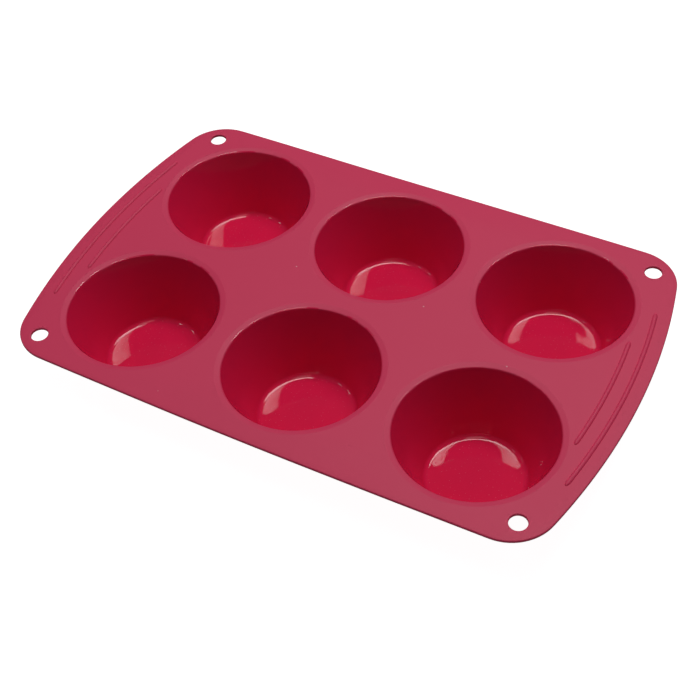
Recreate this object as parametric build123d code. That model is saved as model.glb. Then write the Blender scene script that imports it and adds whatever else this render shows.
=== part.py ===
"""Six-cup silicone muffin pan.

A thin flat deck with bowed ends carries two rows of three tapered cups. The real pan is one
silicone moulding, so its nodes are the moulding's regions, cut where they meet face to face:
the deck, each cup with its rolled lip, and each raised rib on the two end grips.

Frame: +X along the pan's length, +Y towards its back, +Z up. The origin is the middle of the
footprint, on the plane that the six cup bases stand on. Units are millimetres.
"""

from build123d import *
import math
import os

# overall size
pan_length = 275.0
pan_width = 174.4  # across the middle, where the long sides bow out a little
end_radius = 300.0  # bow of the two short ends
side_radius = 8000.0  # bow of the two long sides
corner_radius = 21.0

# skins
deck_thickness = 1.5
wall_thickness = 1.5
floor_thickness = 1.5
edge_round = 0.3  # on the deck's outer edges

# cups
cup_pitch = 83.0  # the same along and across the pan
cup_depth = 31.5  # deck's top face to the cup's inner floor
mouth_radius = 35.7  # inner wall carried up to the deck's top face, before the lip is rounded
floor_radius = 22.0  # inner wall carried down to the floor, before the corner is rounded
lip_round = 2.5  # top of the lip, deck to inner wall
under_round = 0.6  # underside of the lip, deck to outer wall
floor_round = 3.0  # inner floor corner, and the base's outer one
lip_radius = 38.0  # where the cup's flat lip meets the deck
columns = {"left": -1, "middle": 0, "right": 1}
rows = {"front": -0.5, "back": 0.5}

# hanging holes, one near each corner
hole_radius = 3.9
hole_x = 116.4
hole_y = 75.3

# grip ribs: two on each end, concentric with the bowed end
rib_width = 2.2
rib_height = 0.7
rib_round = 0.6
ribs = {
    "outer": {"inset": 6.9, "half_span": 50.5},
    "inner": {"inset": 14.2, "half_span": 30.0},
}
ends = {"left": -1, "right": 1}

# worked out
half_length = pan_length / 2
half_width = pan_width / 2
deck_top = cup_depth + floor_thickness
deck_bottom = deck_top - deck_thickness
cutter_length = 4 * deck_thickness  # well clear of the deck on both sides
taper = math.atan2(mouth_radius - floor_radius, cup_depth)  # of the cup wall, from vertical


def cup_centres():
    """Each cup's name with its centre in the plan."""
    centres = {}
    for row, across in rows.items():
        for column, along in columns.items():
            centres[f"cup_{row}_{column}"] = (along * cup_pitch, across * cup_pitch)
    return centres


def pan_outline():
    """The deck's outline: two bowed ends, two nearly straight long sides and rounded corners."""
    outline = Rectangle(pan_length, pan_width)
    for side in (-1, 1):
        outline &= Pos(side * (half_length - end_radius), 0) * Circle(end_radius)
        outline &= Pos(0, side * (half_width - side_radius)) * Circle(side_radius)
    corners = [v for v in outline.vertices() if abs(v.X) > half_length / 2]
    return fillet(corners, corner_radius)


def make_deck():
    """The flat sheet, with its six cup openings and four hanging holes."""
    sheet = Pos(0, 0, deck_bottom) * extrude(pan_outline(), deck_thickness)
    sheet = fillet(sheet.faces().sort_by(Axis.Z)[-1].outer_wire().edges(), edge_round)
    sheet = fillet(sheet.faces().sort_by(Axis.Z)[0].outer_wire().edges(), edge_round)
    middle = (deck_top + deck_bottom) / 2
    for x, y in cup_centres().values():
        sheet -= Pos(x, y, middle) * Cylinder(lip_radius, cutter_length)
    for x in (-hole_x, hole_x):
        for y in (-hole_y, hole_y):
            sheet -= Pos(x, y, middle) * Cylinder(hole_radius, cutter_length)
    return sheet


def cup_section():
    """Half of the cup's section, in the XZ plane: flat lip, tapered wall and floor."""
    across = wall_thickness / math.cos(taper)  # wall measured along the radius
    slope = math.tan(taper)
    lip_inside = mouth_radius + across - deck_thickness * slope
    base_edge = floor_radius + across - floor_thickness * slope
    corners = [
        (0, 0),
        (base_edge, 0),
        (lip_inside, deck_bottom),
        (lip_radius, deck_bottom),
        (lip_radius, deck_top),
        (mouth_radius, deck_top),
        (floor_radius, floor_thickness),
        (0, floor_thickness),
    ]
    rounds = {
        1: floor_round,
        2: under_round,
        5: lip_round,
        6: floor_round,
    }
    section = make_face(Polyline([Vector(r, z) for r, z in corners], close=True))
    for index, radius in rounds.items():
        here = Vector(*corners[index])
        vertex = section.vertices().sort_by_distance(here)[0]
        section = fillet(vertex, radius)
    return Rot(90, 0, 0) * section


def make_cup(x, y):
    """One cup with its rolled lip, standing on z = 0."""
    return Pos(x, y, 0) * revolve(cup_section(), Axis.Z)


def make_rib(side, inset, half_span):
    """One raised grip rib, a rounded bead that follows the bow of the end."""
    radius = end_radius - inset
    sweep_angle = math.degrees(math.asin(half_span / radius))
    facing = 0 if side > 0 else 180
    arc = CenterArc((0, 0), radius, facing - sweep_angle, 2 * sweep_angle)
    bead = extrude(SlotArc(arc, rib_width), rib_height)
    bead = fillet(bead.faces().sort_by(Axis.Z)[-1].edges(), rib_round)
    return Pos(side * (half_length - end_radius), 0, deck_top) * bead


def main():
    os.makedirs("parts", exist_ok=True)
    nodes = {"deck": make_deck()}
    for name, centre in cup_centres().items():
        nodes[name] = make_cup(*centre)
    for end, side in ends.items():
        for name, size in ribs.items():
            nodes[f"grip_rib_{end}_{name}"] = make_rib(side, **size)
    for name, shape in nodes.items():
        export_step(shape, f"parts/{name}.step")
        print(name, round(shape.volume, 1), "mm3")


main()
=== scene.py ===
import bpy
import bmesh
import math
from mathutils import Matrix, Vector, noise
from mathutils.geometry import delaunay_2d_cdt


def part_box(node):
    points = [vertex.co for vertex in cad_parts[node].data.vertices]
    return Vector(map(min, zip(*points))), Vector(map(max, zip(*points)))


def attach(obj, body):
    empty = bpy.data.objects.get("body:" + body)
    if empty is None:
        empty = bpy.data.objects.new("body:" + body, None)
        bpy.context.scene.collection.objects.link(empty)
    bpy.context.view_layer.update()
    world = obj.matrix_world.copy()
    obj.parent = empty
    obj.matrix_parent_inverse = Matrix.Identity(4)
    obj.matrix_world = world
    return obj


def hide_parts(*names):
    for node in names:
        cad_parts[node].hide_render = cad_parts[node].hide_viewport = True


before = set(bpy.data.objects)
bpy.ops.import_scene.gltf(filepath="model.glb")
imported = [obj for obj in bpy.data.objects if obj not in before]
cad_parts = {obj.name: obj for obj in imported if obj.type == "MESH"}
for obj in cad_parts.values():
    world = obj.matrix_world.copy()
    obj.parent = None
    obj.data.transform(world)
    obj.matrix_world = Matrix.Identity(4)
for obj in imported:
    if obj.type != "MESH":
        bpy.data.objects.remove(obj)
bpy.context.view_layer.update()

mm = 0.001
scene = bpy.context.scene
scene.view_settings.view_transform = "Standard"
scene.view_settings.look = "None"
print("frame loaded:", len(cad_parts), "nodes")

# levels and places read from the CAD nodes
deckLow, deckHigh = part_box("deck")
deckTop = deckHigh.z / mm
deckUnder = deckLow.z / mm
halfLength = deckHigh.x / mm
halfWidth = deckHigh.y / mm
cupNodes = sorted(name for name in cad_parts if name.startswith("cup_"))
ribNodes = sorted(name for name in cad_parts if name.startswith("grip_rib_"))


def middleOf(node):
    low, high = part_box(node)
    return (low.x + high.x) / 2 / mm, (low.y + high.y) / 2 / mm


def easeBetween(a, b, value):
    # 0 at a, 1 at b, smooth in between
    part = min(max((value - a) / (b - a), 0.0), 1.0)
    return part * part * (3 - 2 * part)


class Flow:
    # one socket of a node tree: + - * / add Math nodes, and node() adds any other kind
    def __init__(self, tree, socket=None):
        self.tree = tree
        self.socket = socket

    def node(self, kind, settings=None, sockets=None, out=0):
        made = self.tree.nodes.new(kind)
        for name, value in (settings or {}).items():
            if name == "stops":
                ramp = made.color_ramp.elements
                while len(ramp) < len(value):
                    ramp.new(0.5)
                for stop, (place, colour) in zip(ramp, value):
                    stop.position = place
                    stop.color = colour
            else:
                setattr(made, name, value)
        for name, value in (sockets or {}).items():
            if isinstance(value, Flow):
                self.tree.links.new(value.socket, made.inputs[name])
            else:
                made.inputs[name].default_value = value
        return Flow(self.tree, made.outputs[out] if len(made.outputs) else None)

    def maths(self, operation, first, second):
        return self.node("ShaderNodeMath", {"operation": operation}, {0: first, 1: second})

    def __add__(self, other):
        return self.maths("ADD", self, other)

    def __radd__(self, other):
        return self.maths("ADD", other, self)

    def __sub__(self, other):
        return self.maths("SUBTRACT", self, other)

    def __rsub__(self, other):
        return self.maths("SUBTRACT", other, self)

    def __mul__(self, other):
        return self.maths("MULTIPLY", self, other)

    def __rmul__(self, other):
        return self.maths("MULTIPLY", other, self)

    def __gt__(self, other):
        return self.maths("GREATER_THAN", self, other)

    def __lt__(self, other):
        return self.maths("LESS_THAN", self, other)


silicone = {
    "base": (0.75, 0.0138, 0.076, 1),
    "deep": (0.71, 0.0115, 0.069, 1),      # slow cloudiness of the pigment
    "paintedSheen": (0.90, 0.55, 1.0, 1),         # painted sheen: a pale tint standing in for the whitish sheen the soft light leaves on the rough textured skin
    "paintedSheenShare": 0.052,
    "cloudScale": 14.0,
    "ior": 1.43,
    "moulded": 0.56,                        # roughness of the textured faces
    "mouldedSpread": 0.05,
    "polished": 0.04,                       # roughness inside the cups
    "polishedSpread": 0.03,
    "smudgeScale": 55.0,
    "grainScale": 2600.0,
    "grainHeight": 0.00004,
    "peelScale": 160.0,
    "peelHeight": 0.000012,
    "dust": (0.80, 0.34, 0.40, 1),
    "smallestSpeck": 0.45,                  # against the largest
    "deckDustScale": 62.0,
    "deckDustShare": 0.955,
    "deckDustRadius": 0.024,
    "floorDustScale": 420.0,
    "floorDustShare": 0.45,
    "floorDustRadius": 0.075,
    "floorDustStrength": 0.30,
}


def mixColour(flow, factor, first, second):
    return flow.node("ShaderNodeMix", {"data_type": "RGBA"}, {0: factor, 6: first, 7: second}, out=2)


def speckMask(flow, place, look, kind):
    # round specks at random places: a Voronoi cell keeps its speck only when its random number is high
    settings = {"voronoi_dimensions": "2D", "feature": "F1"}
    sockets = {"Vector": place, "Scale": look[kind + "Scale"]}
    near = flow.node("ShaderNodeTexVoronoi", settings, sockets, out="Distance")
    cell = flow.node("ShaderNodeTexVoronoi", settings, sockets, out="Color")
    pick = flow.node("ShaderNodeSeparateColor", None, {0: cell}, out=0)
    size = flow.node("ShaderNodeSeparateColor", None, {0: cell}, out=1)
    smallest = look["smallestSpeck"]
    speck = near < (smallest + (1 - smallest) * size) * look[kind + "Radius"]
    return speck * (pick > look[kind + "Share"])


def makeSilicone(look):
    material = bpy.data.materials.new("raspberrySilicone")
    material.use_nodes = True
    tree = material.node_tree
    tree.nodes.clear()
    flow = Flow(tree)
    place = flow.node("ShaderNodeTexCoord", out="Object")
    polish = flow.node("ShaderNodeAttribute", {"attribute_name": "polish"}, out="Fac")
    bottom = flow.node("ShaderNodeAttribute", {"attribute_name": "cupBottom"}, out="Fac")

    def cloud(scale, detail=2.0):
        sockets = {"Vector": place, "Scale": scale, "Detail": detail}
        return flow.node("ShaderNodeTexNoise", None, sockets, out=0)

    # colour: slow clouds in the pigment, a painted sheen over the textured faces, then dust that the
    # rubbery skin has picked up
    colour = mixColour(flow, cloud(look["cloudScale"]), look["deep"], look["base"])
    # painted sheen: a pale tint mixed into the textured faces in place of the soft light's sheen
    colour = mixColour(flow, (1 - polish) * look["paintedSheenShare"], colour, look["paintedSheen"])
    deckDust = speckMask(flow, place, look, "deckDust")
    floorDust = speckMask(flow, place, look, "floorDust")
    dust = deckDust * (1 - polish) + floorDust * bottom * look["floorDustStrength"]
    colour = mixColour(flow, dust, colour, look["dust"])

    # roughness: spark-eroded mould texture outside, polished mould inside the cups, with faint smudges
    smudge = cloud(look["smudgeScale"], 3.0)
    outside = look["moulded"] + look["mouldedSpread"] * (smudge - 0.5)
    inside = look["polished"] + look["polishedSpread"] * (smudge - 0.5)
    roughness = outside + (inside - outside) * polish

    # relief: fine grain outside, a very slight orange peel inside
    grain = cloud(look["grainScale"]) * look["grainHeight"] * (1 - polish)
    peel = cloud(look["peelScale"], 1.0) * look["peelHeight"] * polish
    relief = flow.node("ShaderNodeBump", None, {"Strength": 1.0, "Distance": 1.0, "Height": grain + peel})

    sockets = {
        "Base Color": colour,
        "Roughness": roughness,
        "Normal": relief,
        "IOR": look["ior"],
    }
    shader = flow.node("ShaderNodeBsdfPrincipled", None, sockets)
    flow.node("ShaderNodeOutputMaterial", None, {"Surface": shader})
    return material


skin = makeSilicone(silicone)
print("silicone material made")


sheet = {
    "swell": 0.16,           # how far the sheet strays from flat, in mm
    "swellScale": 70.0,
    "droop": 1.0,            # how far the long edges hang down in the middle
    "droopFrom": 70.0,       # from this far off the pan's middle line
    "droopPast": 4.0,        # whole this far beyond the edge
    "sharpAngle": 40,        # degrees between faces that still shade as one
}


def sag(x, y):
    # the height of the soft sheet above its true level, shared by every piece, in mm
    swell = sheet["swell"] * noise.noise(Vector((x / sheet["swellScale"], y / sheet["swellScale"], 3.1)))
    middle = easeBetween(halfLength, 0, abs(x))
    outward = easeBetween(sheet["droopFrom"], halfWidth + sheet["droopPast"], abs(y))
    return swell - sheet["droop"] * middle * outward


def finishPiece(name, mesh, polishValues, bottomValues, nodes):
    mesh.name = name
    for attribute, values in (("polish", polishValues), ("cupBottom", bottomValues)):
        layer = mesh.attributes.new(attribute, "FLOAT", "POINT")
        layer.data.foreach_set("value", values)
    mesh.shade_smooth()
    mesh.set_sharp_from_angle(angle=math.radians(sheet["sharpAngle"]))
    piece = bpy.data.objects.new(name, mesh)
    scene.collection.objects.link(piece)
    piece.data.materials.append(skin)
    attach(piece, "root")
    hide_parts(*nodes)
    print("piece:", name, len(mesh.polygons), "faces")
    return piece


def meshFrom(points, faces):
    # points in mm
    mesh = bpy.data.meshes.new("piece")
    mesh.from_pydata([Vector(p) * mm for p in points], [], faces)
    mesh.validate()
    work = bmesh.new()
    work.from_mesh(mesh)
    bmesh.ops.recalc_face_normals(work, faces=work.faces)
    work.to_mesh(mesh)
    work.free()
    return mesh


cup = {
    "lipRadius": 38.0,       # joint with the deck
    "mouthRadius": 35.35,    # wall carried up to the deck's top
    "floorRadius": 22.0,     # wall carried down to the floor
    "floorLevel": 1.5,
    "crown": 0.30,           # how far the soft floor rises in its middle
    "wall": 1.5,
    "dishLean": 13.0,        # degrees, of the shallow dished ring round the mouth
    "dishWidth": 2.0,
    "dishEase": 2.0,         # radius from the deck into the dish
    "turnRadius": 0.9,       # radius from the dish into the wall
    "underRound": 0.6,
    "floorRound": 3.0,
    "baseRound": 3.0,
    "around": 180,           # points round the cup
    "wallSteps": 16,
    "floorSteps": 12,
    "roundSteps": 14,
    "neckSteps": 4,
    "gather": 1.4,           # draws the wall's rings up towards the lip
    "wobble": 0.10,          # how far the soft wall strays from a true cone, in mm
    "wobbleFade": (0.4, 2.4),    # in from the joint: none at first, whole at last
    "floorSwell": 0.05,
    "swellFade": (21.0, 14.0),   # radii: none at first, whole at last
}

# where the mould's polished core met its textured plate: a crisp line on the dish, broken here and there
seam = {
    "before": 0.12,          # mm of the dish that is polished
    "crisp": 0.04,
    "fade": 1.5,             # between the spans the polish comes in over this length of the wall
    "spans": [(56, 67), (75, 85), (108, 141), (152, 161), (168, 180)],   # degrees round the cup
    "soften": 2.0,           # degrees over which a span starts or ends
    "turn": {"cup_back_middle": -4, "cup_back_right": -10, "cup_front_left": 8, "cup_front_middle": -1},
    "share": {"cup_front_right": 0.5},
}


def roundCorner(before, corner, after, radius, steps):
    # the corner of a section replaced by an arc, as (r, z) points
    a = (Vector(before) - Vector(corner)).normalized()
    b = (Vector(after) - Vector(corner)).normalized()
    half = a.angle(b) / 2
    reach = radius / math.tan(half)
    centre = Vector(corner) + (a + b).normalized() * (radius / math.sin(half))
    start = Vector(corner) + a * reach - centre
    end = Vector(corner) + b * reach - centre
    points = []
    for step in range(steps + 1):
        part = step / steps
        angle = start.angle(end)
        spoke = (start * math.sin((1 - part) * angle) + end * math.sin(part * angle)) / math.sin(angle)
        points.append(tuple(centre + spoke))
    return points


def bandFaces(upper, lower):
    # quads between two closed rings, or triangles where one of them is a single point
    count = max(len(upper), len(lower))
    if count == 1:
        return []
    faces = []
    for i in range(count):
        j = (i + 1) % count
        if len(upper) == 1:
            faces.append((upper[0], lower[i], lower[j]))
        elif len(lower) == 1:
            faces.append((upper[i], lower[0], upper[j]))
        else:
            faces.append((upper[i], lower[i], lower[j], upper[j]))
    return faces


def between(first, last, steps):
    return [tuple(Vector(first).lerp(Vector(last), step / steps)) for step in range(1, steps)]


def spread(first, last, count):
    return [first + (last - first) * step / count for step in range(count)]


def lipPath(stretches, along):
    # how far in and down the surface has come after this much of it, and its tilt from level
    run = drop = tilt = 0.0
    for length, radius in stretches:
        part = min(along, length)
        if radius:
            tilted = tilt + part / radius
            run += radius * (math.sin(tilted) - math.sin(tilt))
            drop += radius * (math.cos(tilt) - math.cos(tilted))
            tilt = tilted
        else:
            run += part * math.cos(tilt)
            drop += part * math.sin(tilt)
        along -= part
    return run + along * math.cos(tilt), drop + along * math.sin(tilt)


def cupSection(size, seam):
    # the closed half section of a cup as (r, z, crisp, gradual) points: how polished the surface is there
    # inside a span of the seam, and between spans
    slope = (size["mouthRadius"] - size["floorRadius"]) / (deckTop - size["floorLevel"])
    across = size["wall"] * math.hypot(1, slope)
    wallTilt = math.pi / 2 - math.atan(slope)
    lean = math.radians(size["dishLean"])
    mouth = (size["mouthRadius"], deckTop)
    heel = (size["floorRadius"], size["floorLevel"])
    middle = (0.0, size["floorLevel"])
    under = (0.0, 0.0)
    base = (size["floorRadius"] + across - size["floorLevel"] * slope, 0.0)
    neck = (size["mouthRadius"] + across - (deckTop - deckUnder) * slope, deckUnder)
    lipUnder = (size["lipRadius"], deckUnder)
    floorArc = roundCorner(mouth, heel, middle, size["floorRound"], size["roundSteps"])
    baseArc = roundCorner(under, base, neck, size["baseRound"], size["roundSteps"])
    neckArc = roundCorner(base, neck, lipUnder, size["underRound"], size["neckSteps"])

    # the lip: ease into the dish, the dish, the turn into the wall
    ease, turn = size["dishEase"] * lean, size["turnRadius"] * (wallTilt - lean)
    stretches = [(ease, size["dishEase"]), (size["dishWidth"], None), (turn, size["turnRadius"])]
    dishEnd = ease + size["dishWidth"]
    lipEnd = dishEnd + turn
    lipRun, lipDrop = lipPath(stretches, lipEnd)
    start = size["mouthRadius"] - lipDrop * slope + lipRun
    wallLength = math.dist((start - lipRun, deckTop - lipDrop), floorArc[0])
    line = dishEnd - seam["before"]
    stations = spread(0.0, ease, 4) + spread(ease, line - seam["crisp"], 4) + [line - seam["crisp"]]
    stations += spread(line + seam["crisp"], dishEnd, 2) + spread(dishEnd, lipEnd, 9)
    for step in range(size["wallSteps"]):
        stations.append(lipEnd + wallLength * (step / size["wallSteps"]) ** size["gather"])
    inside = [(size["lipRadius"], deckTop, 0.0, 0.0)]
    for along in stations:
        run, drop = lipPath(stretches, along)
        crisp = easeBetween(line - seam["crisp"], line + seam["crisp"], along)
        gradual = easeBetween(dishEnd, dishEnd + seam["fade"], along)
        inside.append((start - run, deckTop - drop, crisp, gradual))
    for r, z in floorArc + between(floorArc[-1], middle, size["floorSteps"]) + [middle]:
        inside.append((r, z, 1.0, 1.0))
    outside = [under] + between(under, baseArc[0], size["floorSteps"]) + baseArc
    outside += between(baseArc[-1], neckArc[0], size["wallSteps"]) + neckArc + [lipUnder]
    return inside, [(r, z, 0.0, 0.0) for r, z in outside]


def wobble(size, x, y, r, z, angle):
    # slow strays of the soft wall, none at the lip joint
    none, whole = size["wobbleFade"]
    free = easeBetween(size["lipRadius"] - none, size["lipRadius"] - whole, r)
    where = Vector((x / 23 + math.cos(angle) * r / 17, y / 23 + math.sin(angle) * r / 17, z / 26))
    return free * size["wobble"] * noise.noise(where)


def seamShare(node, seam, angle):
    # how much of the crisp line there is at this angle round the cup
    turned = (math.degrees(angle) - seam["turn"].get(node, 0)) % 360
    inSpan = 0.0
    for first, last in seam["spans"]:
        soft = seam["soften"]
        rising = easeBetween(first - soft, first + soft, turned)
        inSpan = max(inSpan, rising * easeBetween(last + soft, last - soft, turned))
    return inSpan * seam["share"].get(node, 1.0)


def floorLift(size, x, y, r):
    # the soft floor's crown and its slow swell
    inner = size["floorRadius"] - size["floorRound"]
    crown = size["crown"] * max(1 - (r / inner) ** 2, 0.0)
    swell = size["floorSwell"] * noise.noise(Vector((x / 15, y / 15, 1.7)))
    return crown + swell * easeBetween(*size["swellFade"], r)


def makeCup(node, size, seam):
    x, y = middleOf(node)
    inside, outside = cupSection(size, seam)
    count = size["around"]
    angles = [2 * math.pi * step / count for step in range(count)]
    shares = [seamShare(node, seam, angle) for angle in angles]
    points, faces, polish, bottom = [], [], [], []
    rings = []
    for isInside, section in ((True, inside), (False, outside)):
        for r, z, crisp, gradual in section:
            onFloor = isInside and z < size["floorLevel"] + 0.5
            ring = []
            for angle, share in zip(angles if r > 0 else angles[:1], shares):
                out = r + (wobble(size, x, y, r, z, angle) if z > size["floorLevel"] + 1 else 0)
                px = x + out * math.cos(angle)
                py = y + out * math.sin(angle)
                level = z + sag(px, py) * easeBetween(0, deckUnder, z)
                if onFloor:
                    level += floorLift(size, px, py, r)
                ring.append(len(points))
                points.append((px, py, max(level, 0.0)))
                polish.append(crisp * share + gradual * (1 - share))
                bottom.append(float(onFloor))
            rings.append(ring)
    rings.append(rings[0])
    for upper, lower in zip(rings, rings[1:]):
        faces += bandFaces(upper, lower)
    finishPiece(node + "_skin", meshFrom(points, faces), polish, bottom, [node])


deck = {
    "endRadius": 300.0,      # bow of the short ends
    "sideRadius": 8000.0,    # bow of the long sides
    "cornerRadius": 21.0,
    "edgeRound": 0.45,
    "edgeSteps": 4,
    "holeRadius": 3.9,
    "holeRound": 0.3,
    "holeSpots": (116.4, 75.3),
    "grid": 3.5,             # spacing of the free points on the faces
    "gridInset": 2.0,        # free points keep this clear of the outline
    "cupClear": 1.4,
    "holeClear": 1.6,
    "holeAround": 48,
    "ringGap": 1.1,          # a ring of free points round each hanging hole
    "ringAround": 32,
    "straightStep": 3.5,
    "arcStep": 2.0,
}


def arcPoints(centreX, centreY, radius, first, last, spacing):
    # (point, outward normal) along an arc, without its last point
    steps = round(radius * (last - first) / spacing)
    found = []
    for step in range(steps):
        angle = first + (last - first) * step / steps
        normal = (math.cos(angle), math.sin(angle))
        found.append(((centreX + radius * normal[0], centreY + radius * normal[1]), normal))
    return found


def deckOutline(size):
    # round the deck, anticlockwise from the middle of the right end; the bowed end, the corner and
    # the bowed side are three arcs that run into each other
    end, side, corner = size["endRadius"], size["sideRadius"], size["cornerRadius"]
    endX = halfLength - end
    sideY = halfWidth - side
    # the corner's centre is where the two bows, each drawn in by the corner's radius, cross
    gap = math.hypot(endX, sideY)
    toEnd, toSide = end - corner, side - corner
    share = (toEnd ** 2 - toSide ** 2 + gap ** 2) / (2 * gap)
    off = math.sqrt(toEnd ** 2 - share ** 2)
    lean = math.atan2(sideY, -endX)
    cornerX = endX + share * math.cos(lean) - off * math.sin(lean)
    cornerY = share * math.sin(lean) + off * math.cos(lean)
    endTurn = math.atan2(cornerY, cornerX - endX)
    sideTurn = math.atan2(cornerY - sideY, cornerX)
    quarter = arcPoints(endX, 0.0, end, 0.0, endTurn, size["straightStep"])
    quarter += arcPoints(cornerX, cornerY, corner, endTurn, sideTurn, size["arcStep"])
    quarter += arcPoints(0.0, sideY, side, sideTurn, math.pi / 2, size["straightStep"])
    middleTop = ((0.0, halfWidth), (0.0, 1.0))
    topRight = quarter + [middleTop]
    topLeft = [((-p[0], p[1]), (-n[0], n[1])) for p, n in reversed(topRight)]
    upper = topRight + topLeft[1:]
    lower = [((-p[0], -p[1]), (-n[0], -n[1])) for p, n in upper]
    return upper[:-1] + lower[:-1]


def roundedEdge(radius, steps):
    # (inset, level) pairs over the edge of the sheet, from its top face to its underside
    profile = []
    for step in range(steps + 1):
        angle = math.pi / 2 * step / steps
        profile.append((radius - radius * math.sin(angle), deckTop - radius + radius * math.cos(angle)))
    for step in range(steps + 1):
        angle = math.pi / 2 * step / steps
        profile.append((radius - radius * math.cos(angle), deckUnder + radius - radius * math.sin(angle)))
    return profile


def circleLoop(x, y, radius, count):
    loop = []
    for step in range(count):
        angle = 2 * math.pi * step / count
        normal = (math.cos(angle), math.sin(angle))
        loop.append(((x + radius * normal[0], y + radius * normal[1]), normal))
    return loop


def movedLoop(loop, distance):
    return [(p[0] + n[0] * distance, p[1] + n[1] * distance) for p, n in loop]


def insideOutline(point, loop):
    # even-odd test
    odd = False
    for a, b in zip(loop, loop[1:] + loop[:1]):
        if (a.y > point.y) != (b.y > point.y):
            if point.x < a.x + (point.y - a.y) / (b.y - a.y) * (b.x - a.x):
                odd = not odd
    return odd


def freePoints(size, outline, openings):
    # a grid inside the outline and clear of every opening, as (x, y, radius to keep clear)
    found = []
    inset = [Vector(p) for p in movedLoop(outline, -size["gridInset"])]
    countX, countY = int(halfLength / size["grid"]), int(halfWidth / size["grid"])
    for i in range(-countX, countX + 1):
        for j in range(-countY, countY + 1):
            point = Vector((i * size["grid"], j * size["grid"]))
            clear = all(math.hypot(point.x - x, point.y - y) > gap for x, y, gap in openings)
            if clear and insideOutline(point, inset):
                found.append(point)
    return found


def flatFace(flatLoops, free, openings):
    # the deck's face: its points, its triangles, and where each loop's points went
    flat, edges = [], []
    for loop in flatLoops:
        start = len(flat)
        flat += [Vector(p) for p in loop]
        edges += [(start + i, start + (i + 1) % len(loop)) for i in range(len(loop))]
    verts, _, tris, sources = delaunay_2d_cdt(flat + free, edges, [], 0, 1e-5)[:4]
    outer = [Vector(p) for p in flatLoops[0]]
    kept = []
    for tri in tris:
        middle = (verts[tri[0]] + verts[tri[1]] + verts[tri[2]]) / 3
        onOuter = all(sources[v] and sources[v][0] < len(outer) for v in tri)
        if any(math.hypot(middle.x - x, middle.y - y) < radius for x, y, radius in openings):
            continue
        if onOuter and not insideOutline(middle, outer):
            continue
        kept.append(tri)
    where = {old: new for new, olds in enumerate(sources) for old in olds}
    return verts, kept, where


def edgeRings(loop, sign, radius, steps, points):
    # rings of new points over a rounded edge, between the top face and the underside
    rings = []
    for inset, level in roundedEdge(radius, steps)[1:-1]:
        ring = []
        for x, y in movedLoop(loop, -sign * inset):
            ring.append(len(points))
            points.append((x, y, level + sag(x, y)))
        rings.append(ring)
    return rings


def makeDeck(size, lipRadius, around):
    outline = deckOutline(size)
    cups = [middleOf(name) for name in cupNodes]
    spotX, spotY = size["holeSpots"]
    holes = [(sx * spotX, sy * spotY) for sx in (-1, 1) for sy in (-1, 1)]
    cupLoops = [circleLoop(x, y, lipRadius, around) for x, y in cups]
    holeLoops = [circleLoop(x, y, size["holeRadius"], size["holeAround"]) for x, y in holes]
    flatLoops = [movedLoop(outline, -size["edgeRound"])]
    flatLoops += [movedLoop(loop, 0) for loop in cupLoops]
    flatLoops += [movedLoop(loop, size["holeRound"]) for loop in holeLoops]

    keepClear = [(x, y, lipRadius + size["cupClear"]) for x, y in cups]
    keepClear += [(x, y, size["holeRadius"] + size["holeClear"]) for x, y in holes]
    free = freePoints(size, outline, keepClear)
    for x, y in holes:
        ring = circleLoop(x, y, size["holeRadius"] + size["ringGap"], size["ringAround"])
        free += [Vector(p) for p, n in ring]
    openings = [(x, y, lipRadius) for x, y in cups]
    openings += [(x, y, size["holeRadius"] + size["holeRound"]) for x, y in holes]
    verts, kept, where = flatFace(flatLoops, free, openings)

    points = [(v.x, v.y, deckTop + sag(v.x, v.y)) for v in verts]
    points += [(v.x, v.y, deckUnder + sag(v.x, v.y)) for v in verts]
    below = len(verts)
    faces = [tuple(tri) for tri in kept] + [tuple(v + below for v in reversed(tri)) for tri in kept]

    # joint walls at the cups; rounded edges at the outline and the hanging holes
    rounded = [(outline, 1, size["edgeRound"])] + [None] * len(cupLoops)
    rounded += [(loop, -1, size["holeRound"]) for loop in holeLoops]
    start = 0
    for loop, edge in zip(flatLoops, rounded):
        top = [where[start + i] for i in range(len(loop))]
        start += len(loop)
        rings = [top] + (edgeRings(*edge, size["edgeSteps"], points) if edge else [])
        rings.append([v + below for v in top])
        for upper, lower in zip(rings, rings[1:]):
            faces += bandFaces(upper, lower)
    mesh = meshFrom(points, faces)
    none = [0.0] * len(mesh.vertices)
    finishPiece("deck_skin", mesh, none, none, ["deck"])


rib = {
    "width": 2.2,
    "height": 0.7,
    "sink": 0.2,             # how far the bead's foot goes into the sheet
    "along": 1.4,            # spacing of the sections
    "across": 10,
    "tip": 2.4,              # length of the rounded run-out at each end
    "tipSteps": (0.0, 0.06, 0.2, 0.45, 0.8),
    "tipWidth": 0.04,        # least share of the width, right at the tip
    "crest": 1.25,           # more than 1 narrows the top of the bead
}


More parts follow.
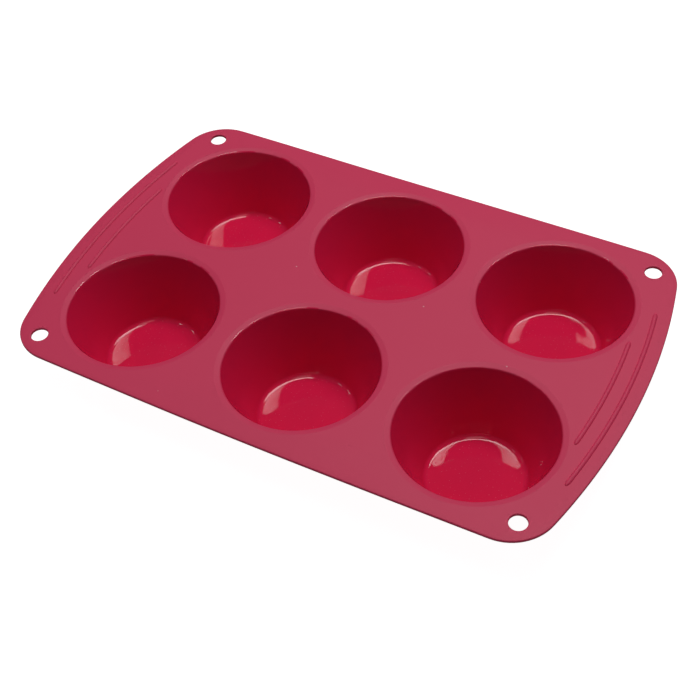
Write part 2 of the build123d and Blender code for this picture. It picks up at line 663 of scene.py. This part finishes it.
def makeRib(node, size):
    low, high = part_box(node)
    side = 1 if high.x > 0 else -1
    reach = max(abs(low.x), abs(high.x)) / mm
    span = high.y / mm
    bowX = halfLength - deck["endRadius"]
    radius = reach - size["width"] / 2 - bowX
    turn = math.asin((span - size["width"] / 2) / radius) + size["width"] / 2 / radius
    length = radius * turn
    count = round(2 * length / size["along"])
    straight = 2 * length - 2 * size["tip"]
    stations = [-length + part * size["tip"] for part in size["tipSteps"]]
    stations += [-length + size["tip"] + straight * i / count for i in range(count + 1)]
    stations += [length - part * size["tip"] for part in reversed(size["tipSteps"])]
    points, faces, rings = [], [], []
    for place in stations:
        fromTip = (length - abs(place)) / size["tip"]
        share = math.sqrt(max(1 - (1 - min(fromTip, 1.0)) ** 2, 0.0))
        angle = place / radius
        ring = []
        for step in range(size["across"] + 1):
            over = math.pi * step / size["across"]
            off = size["width"] / 2 * math.cos(over) * max(share, size["tipWidth"])
            rise = size["height"] * math.sin(over) ** size["crest"] * share
            x = bowX + (radius + off) * math.cos(angle)
            y = (radius + off) * math.sin(angle)
            ring.append(len(points))
            foot = size["sink"] * (1 - math.sin(over))
            points.append((side * x, y, deckTop + sag(side * x, y) + rise - foot))
        rings.append(ring)
    for first, second in zip(rings, rings[1:]):
        for i in range(size["across"]):
            faces.append((first[i], second[i], second[i + 1], first[i + 1]))
        faces.append((first[-1], second[-1], second[0], first[0]))
    faces.append(tuple(rings[0]))
    faces.append(tuple(reversed(rings[-1])))
    mesh = meshFrom(points, faces)
    none = [0.0] * len(mesh.vertices)
    finishPiece(node + "_skin", mesh, none, none, [node])


makeDeck(deck, cup["lipRadius"], cup["around"])
for name in cupNodes:
    makeCup(name, cup, seam)
for name in ribNodes:
    makeRib(name, rib)
print("pan made")


view = {
    "azimuth": 32.64,
    "elevation": 47.62,
    "roll": -5.57,
    "distance": 570.6,
    "target": (14.9, -24.3),
    "lens": 67.52,
    "sensor": 36.0,
}

around = math.radians(view["azimuth"])
above = math.radians(view["elevation"])
awayDir = Vector((-math.sin(around), math.cos(around), 0))      # the way the camera looks, along the floor
rightDir = Vector((math.cos(around), math.sin(around), 0))
upDir = Vector((0, 0, 1))


def makeCamera(look):
    data = bpy.data.cameras.new("camera")
    data.lens = look["lens"]
    data.sensor_width = look["sensor"]
    data.clip_start = 0.01
    camera = bpy.data.objects.new("camera", data)
    scene.collection.objects.link(camera)
    back = upDir * math.sin(above) - awayDir * math.cos(above)
    across = upDir.cross(back).normalized()
    rise = back.cross(across)
    turn = math.radians(look["roll"])
    right = across * math.cos(turn) + rise * math.sin(turn)
    top = rise * math.cos(turn) - across * math.sin(turn)
    target = Vector((look["target"][0], look["target"][1], deckTop))
    matrix = Matrix((right, top, back)).transposed().to_4x4()
    matrix.translation = (target + back * look["distance"]) * mm
    camera.matrix_world = matrix
    scene.camera = camera


makeCamera(view)

# each panel: metres to the right of, beyond and above the pan, seen from the camera; its size; how
# bright its face is
panels = {
    "softbox": {"right": 0.375, "away": 0.555, "up": 1.5, "width": 1.05, "depth": 0.51, "glow": 8.8},
    "fill": {"right": 0.0, "away": -0.45, "up": 1.5, "width": 0.50, "depth": 0.50, "glow": 1.6},
    "leftLamp": {"right": -0.95, "away": 0.39, "up": 0.79, "width": 0.14, "depth": 0.14, "glow": 9.0},
    "highLamp": {"right": -0.75, "away": 0.13, "up": 1.06, "width": 0.12, "depth": 0.12, "glow": 9.0},
}


def makePanel(name, look):
    data = bpy.data.lights.new(name, "AREA")
    data.shape = "RECTANGLE"
    data.size = look["width"]
    data.size_y = look["depth"]
    data.energy = look["glow"] * math.pi * look["width"] * look["depth"]
    panel = bpy.data.objects.new(name, data)
    scene.collection.objects.link(panel)
    place = rightDir * look["right"] + awayDir * look["away"] + upDir * look["up"]
    # every panel faces straight down
    matrix = Matrix((rightDir, awayDir, upDir)).transposed().to_4x4()
    matrix.translation = place
    panel.matrix_world = matrix


for name, look in panels.items():
    makePanel(name, look)

ground = {"size": 6.0, "colour": (0.30, 0.30, 0.30, 1), "glow": 0.97}


def makeFloor(look):
    work = bmesh.new()
    bmesh.ops.create_grid(work, x_segments=8, y_segments=8, size=look["size"] / 2)
    mesh = bpy.data.meshes.new("studioFloor")
    work.to_mesh(mesh)
    work.free()
    floor = bpy.data.objects.new("studioFloor", mesh)
    scene.collection.objects.link(floor)
    material = bpy.data.materials.new("palePaper")
    material.use_nodes = True
    material.node_tree.nodes.clear()
    flow = Flow(material.node_tree)
    sockets = {
        "Base Color": look["colour"],
        "Roughness": 0.9,
        "Emission Color": (1, 1, 1, 1),
        "Emission Strength": look["glow"],
    }
    shader = flow.node("ShaderNodeBsdfPrincipled", None, sockets)
    flow.node("ShaderNodeOutputMaterial", None, {"Surface": shader})
    mesh.materials.append(material)
    # the paper's glow is for the eye only: the studio air lights the pan from below
    floor.visible_diffuse = False
    floor.visible_glossy = False
    floor.visible_shadow = False


makeFloor(ground)

studioAir = {
    "above": (0.06, 0.06, 0.06, 1),
    "below": (0.30, 0.30, 0.30, 1),
    "horizon": (0.46, 0.52),       # where below gives way to above, from 0 straight down to 1 straight up
}


def makeWorld(look):
    world = bpy.data.worlds.new("studioAir")
    world.use_nodes = True
    world.node_tree.nodes.clear()
    flow = Flow(world.node_tree)
    direction = flow.node("ShaderNodeTexCoord", out="Generated")
    height = flow.node("ShaderNodeSeparateXYZ", None, {0: direction}, out="Z")
    stops = list(zip(look["horizon"], (look["below"], look["above"])))
    air = flow.node("ShaderNodeValToRGB", {"stops": stops}, {0: height * 0.5 + 0.5})
    light = flow.node("ShaderNodeBackground", None, {"Color": air})
    flow.node("ShaderNodeOutputWorld", None, {"Surface": light})
    scene.world = world


makeWorld(studioAir)
print("camera, lights and floor made")
